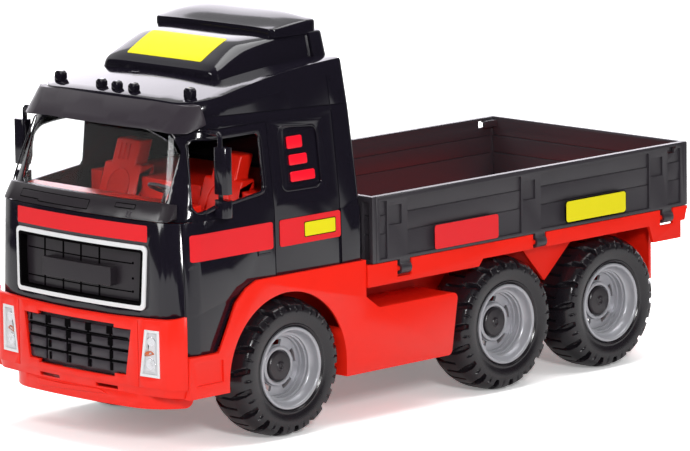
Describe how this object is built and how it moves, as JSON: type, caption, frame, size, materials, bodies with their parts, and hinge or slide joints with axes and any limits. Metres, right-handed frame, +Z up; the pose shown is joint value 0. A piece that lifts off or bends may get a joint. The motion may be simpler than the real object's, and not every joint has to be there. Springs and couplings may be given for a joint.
{
  "type": "toy drop-side truck",
  "caption": "Large plastic toy truck with a rounded cab, an open bed with sides that drop, and wheels that roll on fixed axles.",
  "frame": {"origin": "on the ground, below the middle of the truck's length and width", "axes": "+Z up, the truck faces -Y, +X is its left side"},
  "size_m": [0.2552, 0.6194, 0.3425],
  "materials": {
    "red_plastic": "smooth moulded plastic with a soft gloss",
    "black_plastic": "glossy moulded plastic",
    "board_plastic": "satin moulded plastic",
    "grey_plastic": "silver-grey moulded plastic",
    "white_plastic": "smooth white trim",
    "lamp_plastic": "pale glossy plastic",
    "clear_plastic": "thin clear plastic sheet",
    "tyre_rubber": "soft black plastic with a satin face",
    "steel": "plain drawn rod"
  },
  "bodies": {
    "truck": {"chassis": "red_plastic", "bed_deck": "red_plastic", "board_front": "board_plastic", "cab_shell": "black_plastic", "windscreen": "clear_plastic", "grille_frame": "white_plastic", "grille_panel": "black_plastic", "cowl": "black_plastic", "visor": "black_plastic", "roof_lamps": "black_plastic", "roof_fairing": "black_plastic", "roof_spoiler": "black_plastic", "interior": "red_plastic", "steering_wheel": "board_plastic", "bumper": "red_plastic", "bumper_grille": "black_plastic", "skirt_left": "red_plastic", "mirror_left": "black_plastic", "seat_left": "red_plastic", "sleeper_bars_left": "red_plastic", "headlamp_bezel_left": "white_plastic", "headlamp_lens_left": "lamp_plastic", "skirt_right": "red_plastic", "mirror_right": "black_plastic", "seat_right": "red_plastic", "sleeper_bars_right": "red_plastic", "headlamp_bezel_right": "white_plastic", "headlamp_lens_right": "lamp_plastic", "axle_front": "steel", "axle_middle": "steel", "axle_rear": "steel"},
    "wheel_front_left": {"tyre_front_left": "tyre_rubber", "rim_front_left": "grey_plastic", "hub_cap_front_left": "black_plastic"},
    "wheel_front_right": {"tyre_front_right": "tyre_rubber", "rim_front_right": "grey_plastic", "hub_cap_front_right": "black_plastic"},
    "wheel_middle_left": {"tyre_middle_left": "tyre_rubber", "rim_middle_left": "grey_plastic", "hub_cap_middle_left": "black_plastic"},
    "wheel_middle_right": {"tyre_middle_right": "tyre_rubber", "rim_middle_right": "grey_plastic", "hub_cap_middle_right": "black_plastic"},
    "wheel_rear_left": {"tyre_rear_left": "tyre_rubber", "rim_rear_left": "grey_plastic", "hub_cap_rear_left": "black_plastic"},
    "wheel_rear_right": {"tyre_rear_right": "tyre_rubber", "rim_rear_right": "grey_plastic", "hub_cap_rear_right": "black_plastic"},
    "drop_side_left": {"board_left": "board_plastic"},
    "drop_side_right": {"board_right": "board_plastic"},
    "tailboard": {"board_tail": "board_plastic"}
  },
  "joints": [
    {"name": "wheel_front_left_spin", "type": "hinge", "parent": "truck", "child": "wheel_front_left", "pos_m": [0.0935, -0.17525, 0.0575], "axis": [1, 0, 0], "continuous": true},
    {"name": "wheel_front_right_spin", "type": "hinge", "parent": "truck", "child": "wheel_front_right", "pos_m": [-0.0935, -0.17525, 0.0575], "axis": [1, 0, 0], "continuous": true},
    {"name": "wheel_middle_left_spin", "type": "hinge", "parent": "truck", "child": "wheel_middle_left", "pos_m": [0.0935, 0.08025, 0.0575], "axis": [1, 0, 0], "continuous": true},
    {"name": "wheel_middle_right_spin", "type": "hinge", "parent": "truck", "child": "wheel_middle_right", "pos_m": [-0.0935, 0.08025, 0.0575], "axis": [1, 0, 0], "continuous": true},
    {"name": "wheel_rear_left_spin", "type": "hinge", "parent": "truck", "child": "wheel_rear_left", "pos_m": [0.0935, 0.21125, 0.0575], "axis": [1, 0, 0], "continuous": true},
    {"name": "wheel_rear_right_spin", "type": "hinge", "parent": "truck", "child": "wheel_rear_right", "pos_m": [-0.0935, 0.21125, 0.0575], "axis": [1, 0, 0], "continuous": true},
    {"name": "drop_side_left_hinge", "type": "hinge", "parent": "truck", "child": "drop_side_left", "pos_m": [0.1149, 0.11275, 0.1238], "axis": [0, 1, 0], "range_deg": [0, 120]},
    {"name": "drop_side_right_hinge", "type": "hinge", "parent": "truck", "child": "drop_side_right", "pos_m": [-0.1149, 0.11275, 0.1238], "axis": [0, -1, 0], "range_deg": [0, 120]},
    {"name": "tailboard_hinge", "type": "hinge", "parent": "truck", "child": "tailboard", "pos_m": [0, 0.30475, 0.1238], "axis": [-1, 0, 0], "range_deg": [0, 120]}
  ]
}
